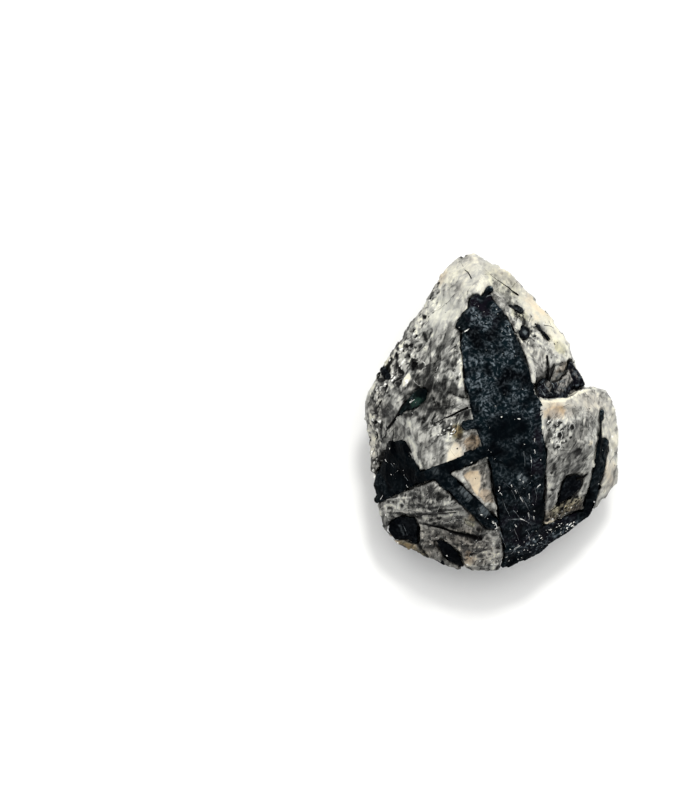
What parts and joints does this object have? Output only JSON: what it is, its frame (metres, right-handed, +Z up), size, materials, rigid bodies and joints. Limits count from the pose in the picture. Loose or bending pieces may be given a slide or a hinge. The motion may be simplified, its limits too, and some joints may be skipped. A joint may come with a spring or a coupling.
{
  "type": "black rutilated quartz chunk",
  "caption": "Rough chunk of cloudy grey quartz with a broad black blade and smaller black rods grown through it, lying on its flat back.",
  "frame": {"origin": "centre of the object's box in plan, on the flat back face that it lies on", "axes": "+Z up from the flat back, +Y along the chunk towards its pointed end, +X to the right seen from above"},
  "size_m": [0.0407, 0.0508, 0.0267],
  "materials": {
    "cloudy_quartz": "glassy, cloudy, broken faces",
    "black_crystal": "glassy black, grained"
  },
  "bodies": {
    "root": {"quartz_mass": "cloudy_quartz", "main_black_crystal": "black_crystal", "notch_black_crystal": "black_crystal", "upper_left_spot_crystal": "black_crystal", "right_black_patch": "black_crystal", "lower_left_black_patch": "black_crystal", "bottom_black_rod": "black_crystal", "upper_right_chip": "black_crystal", "upper_right_stub": "black_crystal", "upper_right_rod": "black_crystal", "left_edge_chip": "black_crystal", "left_side_rod": "black_crystal", "left_low_rod": "black_crystal", "right_side_rod": "black_crystal", "end_side_rod": "black_crystal", "upper_right_side_rod": "black_crystal", "upper_left_side_rod": "black_crystal", "foot_black_rod": "black_crystal"}
  },
  "joints": []
}
